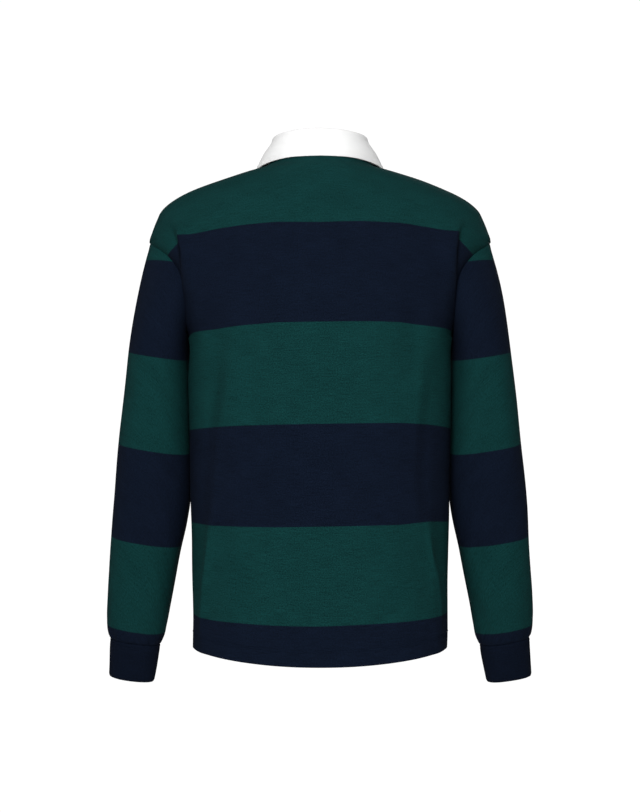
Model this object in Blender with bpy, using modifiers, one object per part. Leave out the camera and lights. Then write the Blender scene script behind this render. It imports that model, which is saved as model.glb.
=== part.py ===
"""A long-sleeved rugby polo shirt, filled out as when worn, with nobody in it.

Metres, +Z up. The front faces -Y and the wearer's left is +X. The origin is the middle
of the neck opening, level with the high points of the shoulders.
"""

import math

import bmesh
import bpy
import numpy as np

# Driving dimensions
CLOTH = 0.0015
HEM_WALL = 0.0022
HEM_TURN = 0.020
CUFF_WALL = 0.0024
COLLAR_WALL = 0.0020
PLACKET_WALL = 0.0016
PLACKET_BEHIND = 0.0028
SEAM_GAP = 0.0004
LAY_GAP = 0.0004
BODY_HEM_Z = -0.718
HEM_LIFT = 0.018
HEM_LIFT_REACH = 0.16
TUCK_REACH = 0.040
TUCK_POWER = 5
SLEEVE_CLEARANCE = 0.0010
UNDERARM_Z = -0.262
SIDE_TOP_Z = -0.250
SHOULDER_POINT_Z = -0.118
NECK_Z = -0.001
BACK_NECK_DIP = 0.001
FRONT_NECK_DIP = 0.048
SLEEVE_END_Z = -0.7005
CUFF_END_Z = -0.757
SLEEVE_LEAN = 0.15
SLEEVE_FORWARD = -0.12
PLACKET_WIDTH = 0.032
PLACKET_SLIT = 0.022
PLACKET_TOP_Z = -0.056
PLACKET_END_Z = -0.205
BUTTON_RADIUS = 0.0058
BUTTON_HEIGHT = 0.0026
BUTTON_Z = (-0.085, -0.130, -0.175)

# How finely the cloth is cut into faces
PANEL_COLUMNS = 12
EDGE_TURN = 1.3
BODY_ROWS = 15
ARMHOLE_STEPS = 12
SHOULDER_ROWS = 9
CAP_RINGS = 6
SLEEVE_RINGS = 15
CUFF_RINGS = 3
COLLAR_COLUMNS = 15

# The body's level outlines: half width, depth behind and in front, and squareness
BODY = {
    "z":      (-0.718, -0.640, -0.560, -0.480, -0.400, -0.320, -0.262, -0.243, -0.205, -0.169,
               -0.1415, -0.1245, -0.118, -0.104, -0.085, -0.072, -0.0615, -0.051, -0.038,
               -0.025, -0.016, -0.012, -0.008, 0.000),
    "half":   (0.1815, 0.1830, 0.1850, 0.1870, 0.1885, 0.1900, 0.1905, 0.1965, 0.2090, 0.2270,
               0.2415, 0.2484, 0.2492, 0.2455, 0.2388, 0.2325, 0.2215, 0.2046, 0.1755,
               0.1390, 0.1085, 0.0915, 0.0825, 0.0750),
    "back":   (0.134, 0.133, 0.133, 0.135, 0.137, 0.139, 0.140, 0.140, 0.138, 0.1345,
               0.130, 0.1265, 0.125, 0.1205, 0.1135, 0.108, 0.1035, 0.0985, 0.092,
               0.085, 0.0800, 0.0770, 0.0740, 0.0690),
    "front":  (0.122, 0.119, 0.118, 0.121, 0.127, 0.133, 0.134, 0.134, 0.131, 0.126,
               0.120, 0.1155, 0.1135, 0.1085, 0.1015, 0.0965, 0.0925, 0.0885, 0.0835,
               0.079, 0.0760, 0.0740, 0.0720, 0.0690),
    "square": (3.1, 3.1, 3.1, 3.1, 3.15, 3.2, 3.15, 3.0, 2.75, 2.55,
               2.45, 2.35, 2.3, 2.25, 2.15, 2.1, 2.05, 2.0, 2.0,
               2.0, 2.0, 2.0, 2.0, 2.0),
}

# The armhole seam of the back, by angle from the shoulder point down to the underarm
ARMHOLE = {
    "angle": (0.0, 30.0, 60.0, 90.0, 120.0, 150.0, 180.0),
    "x":     (0.2492, 0.2418, 0.2200, 0.1998, 0.1905, 0.1900, 0.1905),
    "y":     (0.000, 0.0350, 0.0605, 0.0725, 0.0690, 0.0480, 0.000),
    "z":     (-0.1180, -0.1258, -0.1432, -0.1690, -0.2050, -0.2430, -0.2620),
}

# The sleeve's and the cuff's level sections: outer and inner side, half depth, middle
SLEEVE = {
    "z":     (-0.7005, -0.690, -0.672, -0.640, -0.600, -0.560, -0.520, -0.480, -0.420, -0.360, -0.300),
    "outer": (0.3115, 0.3140, 0.3150, 0.3135, 0.3105, 0.3075, 0.3045, 0.3005, 0.2940, 0.2875, 0.2803),
    "inner": (0.2365, 0.2315, 0.2275, 0.2215, 0.2135, 0.2055, 0.1962, 0.1900, 0.1894, 0.1903, 0.1912),
    "deep":  (0.0325, 0.037, 0.041, 0.046, 0.050, 0.054, 0.057, 0.060, 0.064, 0.068, 0.072),
    "mid_y": (-0.0585, -0.0565, -0.0535, -0.048, -0.042, -0.036, -0.030, -0.025, -0.018, -0.012, -0.007),
}
CUFF = {
    "z":     (-0.757, -0.740, -0.720, -0.701),
    "outer": (0.3145, 0.3130, 0.3118, 0.3110),
    "inner": (0.2475, 0.2435, 0.2395, 0.2370),
    "deep":  (0.0255, 0.0275, 0.0295, 0.0315),
    "mid_y": (-0.0685, -0.0655, -0.0620, -0.0587),
}

# The collar from the middle of the back round to its front end: how far the roll line
# stands in from the neck seam and above it, and where the leaf's edge lies
COLLAR = {
    "angle":  (0.0, 30.0, 60.0, 90.0, 105.0, 120.0, 150.0, 175.0),
    "inward": (0.0090, 0.0100, 0.0115, 0.0120, 0.0120, 0.0115, 0.0090, 0.0060),
    "rise":   (0.0385, 0.0380, 0.0370, 0.0365, 0.0360, 0.0345, 0.0290, 0.0240),
    "edge_x": (0.0000, 0.0432, 0.0768, 0.0940, 0.0950, 0.0905, 0.0725, 0.0520),
    "edge_y": (0.0740, 0.0628, 0.0338, 0.0000, -0.0290, -0.0575, -0.0880, -0.1080),
    "edge_z": (-0.0030, -0.0028, -0.0050, -0.0098, -0.0122, -0.0200, -0.0520, -0.0900),
}
ROLL_RADIUS = 0.0030
LEAF_BULGE = 0.0015

# The body's largest folds: side (1 back, -1 front), top, bottom, width, and height out
FOLDS = (
    (1, 0.146, -0.230, 0.138, -0.545, 0.018, -0.0050),
    (1, -0.131, -0.220, -0.127, -0.560, 0.018, -0.0055),
    (1, -0.150, -0.260, -0.148, -0.520, 0.012, 0.0020),
    (1, 0.152, -0.510, 0.172, -0.760, 0.008, 0.0040),
    (1, -0.151, -0.510, -0.171, -0.760, 0.008, 0.0040),
    (-1, 0.120, -0.200, 0.132, -0.520, 0.020, -0.0050),
    (-1, -0.126, -0.210, -0.118, -0.560, 0.020, -0.0045),
    (-1, 0.146, -0.560, 0.160, -0.760, 0.010, 0.0030),
    (-1, -0.148, -0.540, -0.162, -0.760, 0.010, 0.0030),
)
FOLD_FADE = 0.30

# The fold over each armhole, down the body: where its crest is and how far it stands out
ARMHOLE_FOLD = {
    "z":      (-0.262, -0.225, -0.184, -0.129, -0.110, -0.093),
    "left":   (0.1890, 0.1900, 0.1915, 0.1970, 0.2040, 0.2190),
    "right":  (0.1885, 0.1885, 0.1885, 0.1910, 0.1955, 0.2080),
    "height": (0.0000, 0.0060, 0.0090, 0.0090, 0.0060, 0.0000),
}
ARMHOLE_FOLD_RISE = 0.020
ARMHOLE_FOLD_DROP = 0.004
ARMHOLE_FOLD_LEAN = 0.30
ARMHOLE_FOLD_EDGE = 0.02
FRONT_FOLD_SHARE = 0.60

COLOURS = {
    "green": (0.0069, 0.0452, 0.0437, 1.0),
    "navy": (0.0060, 0.0103, 0.0203, 1.0),
    "white": (0.90, 0.90, 0.89, 1.0),
    "button": (0.80, 0.79, 0.76, 1.0),
}


def curve(table, key, along):
    """The smooth curve through one column of a table, as a function of another column."""
    xs = np.array(table[along], float)
    ys = np.array(table[key], float)
    step = np.diff(xs)
    slope = np.diff(ys) / step
    tangent = np.concatenate(([slope[0]], (slope[:-1] * step[1:] + slope[1:] * step[:-1])
                              / (step[1:] + step[:-1]), [slope[-1]]))

    def at(x):
        x = np.clip(x, xs[0], xs[-1])
        i = np.clip(np.searchsorted(xs, x) - 1, 0, len(step) - 1)
        u = (x - xs[i]) / step[i]
        return ((1 + 2 * u) * (1 - u) ** 2 * ys[i] + u * (1 - u) ** 2 * step[i] * tangent[i]
                + u * u * (3 - 2 * u) * ys[i + 1] + u * u * (u - 1) * step[i] * tangent[i + 1])

    return at


def curves(table, along):
    """Every column of a table as a smooth curve along one of them."""
    return {key: curve(table, key, along) for key in table if key != along}


body = curves(BODY, "z")
armhole = curves(ARMHOLE, "angle")
sleeve_at = curves(SLEEVE, "z")
cuff_at = curves(CUFF, "z")
collar_at = curves(COLLAR, "angle")
armhole_fold_at = curves(ARMHOLE_FOLD, "z")


def ease(u):
    """0 up to 0, 1 from 1, and smooth between."""
    u = np.clip(u, 0.0, 1.0)
    return u * u * (3.0 - 2.0 * u)


def depth_at(x, z, side):
    """How far the body's cloth is behind or in front of the middle, at x and z."""
    square = body["square"](z)
    reach = np.clip(np.abs(x) / body["half"](z), 0.0, 1.0)
    depth = body["back"](z) if side > 0 else body["front"](z)
    return depth * (1.0 - reach ** square) ** (1.0 / square)


def neck_dip(z, side):
    """How far a row sinks in the middle, so that the rows follow the neckline."""
    start = -0.150
    share = np.clip((z - start) / (NECK_Z - start), 0.0, 1.0)
    return (BACK_NECK_DIP if side > 0 else FRONT_NECK_DIP) * share ** 1.5


def fold_push(x, z, side):
    """How far the folds push the body's cloth out (or in, below zero) at x and z."""
    push = 0.0
    for fold_side, x_top, z_top, x_low, z_low, width, height in FOLDS:
        if fold_side != side:
            continue
        share = (z_top - z) / (z_top - z_low)
        fade = ease(min(share, 1.0 - share) / FOLD_FADE + 0.5)
        across = (x - x_top - (x_low - x_top) * share) / width
        push += height * fade * math.exp(-across * across)
    return push


def armhole_fold_push(x, z, t, side):
    """How far the fold over the armhole pushes the body's cloth out at x and z."""
    crest = armhole_fold_at["left" if x > 0 else "right"](z)
    past = abs(x) - crest
    rise = math.exp(-(past / ARMHOLE_FOLD_RISE) ** 2) if past < 0 else 1.0 - ease(past / ARMHOLE_FOLD_DROP)
    share = 1.0 if side > 0 else FRONT_FOLD_SHARE
    return share * armhole_fold_at["height"](z) * rise * ease((1.0 - t) / ARMHOLE_FOLD_EDGE)


def panel_point(t, row, side):
    """A point of the back (side 1) or front (side -1), t from 0 in the middle to 1 at its edge."""
    middle_z, (seam_x, seam_y, seam_z) = row
    square = body["square"](seam_z)
    half = body["half"](seam_z)
    end = math.asin(min(1.0, seam_x / half) ** (square / 2.0))
    natural_y = depth_at(seam_x, seam_z, side)
    angle = t * (math.pi / 2 - (math.pi / 2 - end) * t ** 1.5)
    z = middle_z + (seam_z - middle_z) * ease((t - 0.2) / 0.8)
    x = body["half"](z) * math.sin(angle) ** (2.0 / body["square"](z))
    dip = neck_dip(z, side)
    near_hem = max(0.0, (BODY_HEM_Z + HEM_LIFT_REACH - z) / HEM_LIFT_REACH)
    lift = HEM_LIFT * near_hem ** 2 * (x / body["half"](z)) ** 2
    z -= dip * math.cos(angle) ** 2
    y = depth_at(x, z, side)
    tuck = np.clip((x - seam_x + TUCK_REACH) / TUCK_REACH, 0.0, 1.0) ** TUCK_POWER
    y += (seam_y - natural_y) * tuck
    return np.array((x, side * y, z + lift))


def shoulder_heights():
    """Heights of the rows above the shoulder point, evenly spaced along the shoulder line."""
    z = np.linspace(SHOULDER_POINT_Z, NECK_Z, 400)
    steps = np.hypot(np.diff(z), np.diff(body["half"](z)))
    run = np.concatenate(([0.0], np.cumsum(steps)))
    return np.interp(np.linspace(0.0, run[-1], SHOULDER_ROWS + 1)[1:], run, z)


def row_list():
    """The rows of a panel, hem to neck: each row's height in the middle and the point at its edge."""
    rows = []
    above_hem = np.linspace(BODY_HEM_Z + HEM_TURN, UNDERARM_Z, BODY_ROWS)[:-1]
    for z in (BODY_HEM_Z, *above_hem):
        rows.append((z, (body["half"](z), 0.0, z)))
    for share in np.linspace(0.0, 1.0, ARMHOLE_STEPS + 1):
        middle_z = UNDERARM_Z + (SHOULDER_POINT_Z - UNDERARM_Z) * share
        seam = tuple(armhole[key](180.0 * (1.0 - share)) for key in "xyz")
        rows.append((middle_z, seam))
    for z in shoulder_heights():
        rows.append((z, (body["half"](z), 0.0, z)))
    return rows


def panel_grid(side):
    """The cloth of the back or the front: rows of points from the right edge to the left."""
    across = np.sin(np.linspace(0.0, 1.0, PANEL_COLUMNS + 1) * EDGE_TURN) / math.sin(EDGE_TURN)
    grid = []
    for row in row_list():
        half_row = [panel_point(t, row, side) for t in across]
        inward = half_row[-2] - half_row[-1]
        half_row[-1] = half_row[-1] + inward * (SEAM_GAP / 2 / np.linalg.norm(inward))
        whole_row = [point * (-1, 1, 1) for point in half_row[:0:-1]] + half_row
        for point, t in zip(whole_row, (*across[:0:-1], *across)):
            over_armhole = armhole_fold_push(point[0], point[2], t, side)
            point[1] += side * (fold_push(point[0], point[2], side) + over_armhole)
            point[0] += math.copysign(ARMHOLE_FOLD_LEAN * over_armhole, point[0])
        grid.append(whole_row)
    return grid


def seam_point(angle):
    """The armhole seam of the left sleeve, all round: 0 on the shoulder, 90 behind, 270 in front."""
    turn = angle if angle <= 180.0 else 360.0 - angle
    back = 1.0 if angle <= 180.0 else -1.0
    return np.array((armhole["x"](turn), back * armhole["y"](turn), armhole["z"](turn)))


def tube_point(section, z, angle, square=2.2):
    """A point of the left sleeve's or cuff's ring at height z."""
    outer = section["outer"](z)
    inner = section["inner"](z)
    deep = section["deep"](z)
    mid_y = section["mid_y"](z)
    cos = math.cos(math.radians(angle))
    sin = math.sin(math.radians(angle))
    dx = (outer - inner) / 2 * math.copysign(abs(cos) ** (2 / square), cos)
    dy = deep * math.copysign(abs(sin) ** (2 / square), sin)
    level = z + SLEEVE_LEAN * dx + SLEEVE_FORWARD * dy
    return np.array(((outer + inner) / 2 + dx, mid_y + dy, level))


def cap_point(angle, s):
    """A point between the armhole seam, s 0, and the first level ring of the sleeve, s 1."""
    top = SLEEVE["z"][-1]
    begin = seam_point(angle)
    end = tube_point(sleeve_at, top, angle)
    below = tube_point(sleeve_at, top - 0.01, angle)
    length = np.linalg.norm(end - begin)
    down = (below - end) / np.linalg.norm(below - end)
    turn = math.radians(angle)
    swell = abs(math.sin(turn))
    under = max(0.0, -math.cos(turn))
    leave = np.array((0.14 + 0.30 * swell + 0.15 * under, 0.35 * math.sin(turn), -1.0))
    leave = leave / np.linalg.norm(leave)
    h00 = (1 + 2 * s) * (1 - s) ** 2
    h10 = s * (1 - s) ** 2
    h01 = s * s * (3 - 2 * s)
    h11 = s * s * (s - 1)
    return h00 * begin + h10 * length * leave + h01 * end + h11 * length * down


def clear_of_body(point, clearance):
    """A sleeve's point moved out until it is clear of the body's side."""
    x, y, z = point
    side = 1 if y > 0 else -1
    depth = body["back"](z) if side > 0 else body["front"](z)
    square = body["square"](z)
    if z > SIDE_TOP_Z or abs(y) >= depth:
        return point
    wall_x = body["half"](z) * (1.0 - (abs(y) / depth) ** square) ** (1.0 / square)
    return np.array((max(x, wall_x + clearance), y, z))


def sleeve_grid(sign):
    """Rings of the sleeve from the armhole to the cuff seam; sign 1 for the left sleeve."""
    angles = np.arange(2 * ARMHOLE_STEPS) * 180.0 / ARMHOLE_STEPS
    grid = []
    for s in np.linspace(0.0, 1.0, CAP_RINGS + 1):
        share = max(s, SEAM_GAP / 2 / 0.10)
        ring = [clear_of_body(cap_point(a, share), SLEEVE_CLEARANCE * ease(s * 2)) for a in angles]
        grid.append(ring)
    top = SLEEVE["z"][-1]
    for share in np.linspace(0.0, 1.0, SLEEVE_RINGS + 1)[1:]:
        z = top + (SLEEVE_END_Z - top) * share ** 0.92
        grid.append([tube_point(sleeve_at, z, a) for a in angles])
    return [[point * (sign, 1, 1) for point in ring] for ring in grid]


def cuff_grid(sign):
    """Rings of the cuff from its seam down to its edge."""
    angles = np.arange(2 * ARMHOLE_STEPS) * 180.0 / ARMHOLE_STEPS
    rings = np.linspace(SLEEVE_END_Z - SEAM_GAP, CUFF_END_Z, CUFF_RINGS + 1)
    return [[tube_point(cuff_at, z, a) * (sign, 1, 1) for a in angles] for z in rings]


def neck_point(angle):
    """The neck seam at an angle from the middle of the back round to the middle of the front."""
    side = 1 if angle <= 90.0 else -1
    t = angle / 90.0 if side > 0 else (180.0 - angle) / 90.0
    return panel_point(t, (NECK_Z, (body["half"](NECK_Z), 0.0, NECK_Z)), side)


def collar_profile(angle):
    """The collar's section at an angle: up the stand, over the roll and down the leaf."""
    base = neck_point(angle)
    turn = math.radians(angle)
    outward = np.array((math.sin(turn), math.cos(turn), 0.0))
    up = np.array((0.0, 0.0, 1.0))
    roll = base - outward * collar_at["inward"](angle) + up * collar_at["rise"](angle)
    edge = np.array([collar_at[key](angle) for key in ("edge_x", "edge_y", "edge_z")])
    stand = base + up * (SEAM_GAP + COLLAR_WALL / 2)
    inside = roll - up * ROLL_RADIUS
    outside = inside + outward * 2 * ROLL_RADIUS
    middle = (outside + edge) / 2 + outward * LEAF_BULGE
    return [stand, (stand + inside) / 2, inside, roll + outward * ROLL_RADIUS * 0.25,
            roll + outward * ROLL_RADIUS * 1.75, outside, middle, edge]


def collar_grid():
    """Columns of the collar from its right front end round the back to its left front end."""
    angles = np.linspace(0.0, COLLAR["angle"][-1], COLLAR_COLUMNS + 1)
    left = [collar_profile(a) for a in angles]
    right = [[point * (-1, 1, 1) for point in profile] for profile in left[:0:-1]]
    return right + left


def placket_grid(out):
    """A strip down the middle of the front, moved out from it (or in, below zero)."""
    grid = []
    for z in np.linspace(PLACKET_END_Z, PLACKET_TOP_Z, 11):
        xs = np.linspace(-0.5, 0.5, 5) * PLACKET_WIDTH
        grid.append([np.array((x, -depth_at(x, z, -1) - out, z)) for x in xs])
    return grid


def material(name, colour, roughness):
    mat = bpy.data.materials.new(name)
    mat.use_nodes = True
    shader = mat.node_tree.nodes["Principled BSDF"]
    shader.inputs["Base Color"].default_value = colour
    shader.inputs["Roughness"].default_value = roughness
    return mat


def sheet_object(name, grid, closed, mat, wall, offset, collection):
    """An object whose mesh is a grid of points and whose wall comes from Solidify."""
    mesh = bpy.data.meshes.new(name)
    cloth = bmesh.new()
    rows = [[cloth.verts.new(point) for point in row] for row in grid]
    for low, high in zip(rows, rows[1:]):
        count = len(low)
        for i in range(count if closed else count - 1):
            j = (i + 1) % count
            cloth.faces.new((low[i], low[j], high[j], high[i]))
    cloth.to_mesh(mesh)
    cloth.free()
    mesh.shade_smooth()
    obj = bpy.data.objects.new(name, mesh)
    obj.data.materials.append(mat)
    collection.objects.link(obj)
    solidify = obj.modifiers.new("wall", "SOLIDIFY")
    solidify.thickness = wall
    solidify.offset = offset
    return obj


def flip(obj):
    """Turn the faces of an object's mesh the other way."""
    mesh = bmesh.new()
    mesh.from_mesh(obj.data)
    bmesh.ops.reverse_faces(mesh, faces=mesh.faces)
    mesh.to_mesh(obj.data)
    mesh.free()


def thicken_hem(obj):
    """Make the wall thicker where the hem is turned up inside."""
    group = obj.vertex_groups.new(name="turned_hem")
    columns = 2 * PANEL_COLUMNS + 1
    low = list(range(2 * columns))
    group.add(low, 1.0, "REPLACE")
    solidify = obj.modifiers["wall"]
    solidify.vertex_group = group.name
    solidify.thickness = HEM_WALL
    solidify.thickness_vertex_group = CLOTH / HEM_WALL


def build_body(collection, cutters, mats):
    back = sheet_object("back", panel_grid(1), False, mats["green"], CLOTH, -1, collection)
    flip(back)
    front = sheet_object("front", panel_grid(-1), False, mats["green"], CLOTH, -1, collection)
    for panel in (back, front):
        thicken_hem(panel)
    height = PLACKET_TOP_Z - PLACKET_END_Z
    bpy.ops.mesh.primitive_cube_add(size=1)
    cutter = bpy.context.object
    cutter.name = "placket_slit"
    cutter.scale = (PLACKET_SLIT, 0.10, height * 1.4)
    cutter.location = (0.0, -0.11, PLACKET_END_Z + 0.010 + height * 0.7)
    cutter.hide_render = True
    cutter.display_type = "WIRE"
    for holder in list(cutter.users_collection):
        holder.objects.unlink(cutter)
    cutters.objects.link(cutter)
    cut = front.modifiers.new("placket slit", "BOOLEAN")
    cut.object = cutter
    cut.operation = "DIFFERENCE"


def build_sleeves(collection, mats):
    for side, sign in (("left", 1), ("right", -1)):
        arm = sheet_object("sleeve_" + side, sleeve_grid(sign), True, mats["green"], CLOTH, -1, collection)
        cuff = sheet_object("cuff_" + side, cuff_grid(sign), True, mats["navy"], CUFF_WALL, -1, collection)
        if sign > 0:
            flip(arm)
            flip(cuff)


def build_collar(collection, mats):
    sheet_object("collar", collar_grid(), False, mats["white"], COLLAR_WALL, 0, collection)


def build_placket(collection, mats):
    over = placket_grid(LAY_GAP)
    under = placket_grid(-PLACKET_BEHIND)
    sheet_object("placket_over", over, False, mats["white"], PLACKET_WALL, 1, collection)
    sheet_object("placket_under", under, False, mats["white"], PLACKET_WALL, -1, collection)
    for number, z in enumerate(BUTTON_Z, start=1):
        step = 0.004
        slope = (depth_at(0.0, z + step, -1) - depth_at(0.0, z - step, -1)) / (2 * step)
        lean = math.atan(slope)
        out = LAY_GAP + PLACKET_WALL + LAY_GAP + BUTTON_HEIGHT / 2
        bpy.ops.mesh.primitive_cylinder_add(vertices=24, radius=BUTTON_RADIUS, depth=BUTTON_HEIGHT)
        button = bpy.context.object
        button.name = "button_%d" % number
        button.rotation_euler = (math.pi / 2 + lean, 0.0, 0.0)
        outward = np.array((0.0, -math.cos(lean), -math.sin(lean)))
        button.location = np.array((0.0, -depth_at(0.0, z, -1), z)) + outward * out
        button.data.materials.append(mats["button"])
        for holder in list(button.users_collection):
            holder.objects.unlink(button)
        collection.objects.link(button)


def main():
    for obj in list(bpy.data.objects):
        bpy.data.objects.remove(obj)
    collection = bpy.data.collections.new("rugby_polo")
    cutters = bpy.data.collections.new("cutters")
    for new in (collection, cutters):
        bpy.context.scene.collection.children.link(new)
    mats = {
        "green": material("green jersey", COLOURS["green"], 0.9),
        "navy": material("navy jersey", COLOURS["navy"], 0.9),
        "white": material("white twill", COLOURS["white"], 0.8),
        "button": material("button", COLOURS["button"], 0.4),
    }
    build_body(collection, cutters, mats)
    build_sleeves(collection, mats)
    build_collar(collection, mats)
    build_placket(collection, mats)


main()
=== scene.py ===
"""The look of a long-sleeved rugby polo shirt, filled out as when worn, seen from behind.

Metres, +Z up. The shirt's front faces -Y and the wearer's left is +X, as in the solids.
Each cloth piece follows the same curves as its solid, with finer rows and with its creases.
"""

import math

import bpy
import numpy as np
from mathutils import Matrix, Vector


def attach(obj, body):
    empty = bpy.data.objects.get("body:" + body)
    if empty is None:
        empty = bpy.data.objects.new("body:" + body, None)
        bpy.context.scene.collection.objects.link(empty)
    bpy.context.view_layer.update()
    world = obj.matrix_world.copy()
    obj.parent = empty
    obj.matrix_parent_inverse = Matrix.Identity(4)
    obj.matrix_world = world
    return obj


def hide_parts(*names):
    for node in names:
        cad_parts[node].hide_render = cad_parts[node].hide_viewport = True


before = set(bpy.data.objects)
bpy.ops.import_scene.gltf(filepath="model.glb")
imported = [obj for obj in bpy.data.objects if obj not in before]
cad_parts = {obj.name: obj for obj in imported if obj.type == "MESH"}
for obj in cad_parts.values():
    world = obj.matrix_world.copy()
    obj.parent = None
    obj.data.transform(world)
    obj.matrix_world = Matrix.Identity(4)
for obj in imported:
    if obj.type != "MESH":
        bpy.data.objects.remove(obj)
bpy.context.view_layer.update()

# The solids' driving dimensions
CLOTH = 0.0015
HEM_WALL = 0.0022
HEM_TURN = 0.020
CUFF_WALL = 0.0024
COLLAR_WALL = 0.0020
PLACKET_WALL = 0.0016
PLACKET_BEHIND = 0.0028
SEAM_GAP = 0.0004
LAY_GAP = 0.0004
BODY_HEM_Z = -0.718
HEM_LIFT = 0.018
HEM_LIFT_REACH = 0.16
TUCK_REACH = 0.040
TUCK_POWER = 5
SLEEVE_CLEARANCE = 0.0006
UNDERARM_Z = -0.262
SIDE_TOP_Z = -0.250
SHOULDER_POINT_Z = -0.118
NECK_Z = -0.001
BACK_NECK_DIP = 0.001
FRONT_NECK_DIP = 0.048
SLEEVE_END_Z = -0.7005
CUFF_END_Z = -0.757
SLEEVE_LEAN = 0.15
SLEEVE_FORWARD = -0.12
PLACKET_WIDTH = 0.032
PLACKET_TOP_Z = -0.056
PLACKET_END_Z = -0.205
BUTTON_RADIUS = 0.0058
BUTTON_HEIGHT = 0.0026
BUTTON_Z = (-0.085, -0.130, -0.175)
ROLL_RADIUS = 0.0030
LEAF_BULGE = 0.0015
FOLD_FADE = 0.30
TUBE_SQUARE = 2.2
SLEEVE_SQUARER = 0.35
SLEEVE_SQUARER_REACH = 0.10
TOWARDS_BODY = (-1.0, 0.0, 0.0)

BODY = {
    "z":      (-0.718, -0.640, -0.560, -0.480, -0.400, -0.320, -0.262, -0.243, -0.205, -0.169,
               -0.1415, -0.1245, -0.118, -0.104, -0.085, -0.072, -0.0615, -0.051, -0.038,
               -0.025, -0.016, -0.012, -0.008, 0.000),
    "half":   (0.1815, 0.1830, 0.1850, 0.1870, 0.1885, 0.1900, 0.1905, 0.1965, 0.2090, 0.2270,
               0.2415, 0.2484, 0.2492, 0.2455, 0.2388, 0.2325, 0.2215, 0.2046, 0.1755,
               0.1390, 0.1085, 0.0915, 0.0825, 0.0750),
    "back":   (0.134, 0.133, 0.133, 0.135, 0.137, 0.139, 0.140, 0.140, 0.138, 0.1345,
               0.130, 0.1265, 0.125, 0.1205, 0.1135, 0.108, 0.1035, 0.0985, 0.092,
               0.085, 0.0800, 0.0770, 0.0740, 0.0690),
    "front":  (0.122, 0.119, 0.118, 0.121, 0.127, 0.133, 0.134, 0.134, 0.131, 0.126,
               0.120, 0.1155, 0.1135, 0.1085, 0.1015, 0.0965, 0.0925, 0.0885, 0.0835,
               0.079, 0.0760, 0.0740, 0.0720, 0.0690),
    "square": (3.1, 3.1, 3.1, 3.1, 3.15, 3.2, 3.15, 3.0, 2.75, 2.55,
               2.45, 2.35, 2.3, 2.25, 2.15, 2.1, 2.05, 2.0, 2.0,
               2.0, 2.0, 2.0, 2.0, 2.0),
}
ARMHOLE = {
    "angle": (0.0, 30.0, 60.0, 90.0, 120.0, 150.0, 180.0),
    "x":     (0.2492, 0.2418, 0.2200, 0.1998, 0.1905, 0.1900, 0.1905),
    "y":     (0.000, 0.0350, 0.0605, 0.0725, 0.0690, 0.0480, 0.000),
    "z":     (-0.1180, -0.1258, -0.1432, -0.1690, -0.2050, -0.2430, -0.2620),
}
SLEEVE = {
    "z":     (-0.7005, -0.690, -0.672, -0.640, -0.600, -0.560, -0.520, -0.480, -0.420, -0.360, -0.300),
    "outer": (0.3115, 0.3140, 0.3150, 0.3135, 0.3105, 0.3075, 0.3045, 0.3005, 0.2940, 0.2875, 0.2803),
    "inner": (0.2365, 0.2315, 0.2275, 0.2215, 0.2135, 0.2055, 0.1962, 0.1900, 0.1894, 0.1903, 0.1912),
    "deep":  (0.0325, 0.037, 0.041, 0.046, 0.050, 0.054, 0.057, 0.060, 0.064, 0.068, 0.072),
    "mid_y": (-0.0585, -0.0565, -0.0535, -0.048, -0.042, -0.036, -0.030, -0.025, -0.018, -0.012, -0.007),
}
CUFF = {
    "z":     (-0.757, -0.740, -0.720, -0.701),
    "outer": (0.3145, 0.3130, 0.3118, 0.3110),
    "inner": (0.2475, 0.2435, 0.2395, 0.2370),
    "deep":  (0.0255, 0.0275, 0.0295, 0.0315),
    "mid_y": (-0.0685, -0.0655, -0.0620, -0.0587),
}
COLLAR = {
    "angle":  (0.0, 30.0, 60.0, 90.0, 105.0, 120.0, 150.0, 175.0),
    "inward": (0.0090, 0.0100, 0.0115, 0.0120, 0.0120, 0.0115, 0.0090, 0.0060),
    "rise":   (0.0385, 0.0380, 0.0370, 0.0365, 0.0360, 0.0345, 0.0290, 0.0240),
    "edge_x": (0.0000, 0.0432, 0.0768, 0.0940, 0.0950, 0.0905, 0.0725, 0.0520),
    "edge_y": (0.0735, 0.0622, 0.0333, 0.0000, -0.0290, -0.0575, -0.0880, -0.1080),
    "edge_z": (-0.0035, -0.0034, -0.0057, -0.0105, -0.0127, -0.0205, -0.0520, -0.0900),
}
FOLDS = (
    (1, 0.146, -0.230, 0.138, -0.545, 0.018, -0.0050),
    (1, -0.131, -0.220, -0.127, -0.560, 0.018, -0.0055),
    (1, -0.150, -0.260, -0.148, -0.520, 0.012, 0.0020),
    (1, 0.152, -0.510, 0.172, -0.760, 0.008, 0.0040),
    (1, -0.151, -0.510, -0.171, -0.760, 0.008, 0.0040),
    (-1, 0.120, -0.200, 0.132, -0.520, 0.020, -0.0050),
    (-1, -0.126, -0.210, -0.118, -0.560, 0.020, -0.0045),
    (-1, 0.146, -0.560, 0.160, -0.760, 0.010, 0.0030),
    (-1, -0.148, -0.540, -0.162, -0.760, 0.010, 0.0030),
)
ARMHOLE_FOLD = {
    "z":      (-0.262, -0.225, -0.184, -0.129, -0.110, -0.093),
    "left":   (0.1890, 0.1900, 0.1915, 0.1970, 0.2040, 0.2190),
    "right":  (0.1885, 0.1885, 0.1885, 0.1910, 0.1955, 0.2080),
    "height": (0.0000, 0.0060, 0.0090, 0.0090, 0.0060, 0.0000),
}
ARMHOLE_FOLD_RISE = 0.020
ARMHOLE_FOLD_DROP = 0.004
ARMHOLE_FOLD_LEAN = 0.30
ARMHOLE_FOLD_EDGE = 0.02
FRONT_FOLD_SHARE = 0.60

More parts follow.
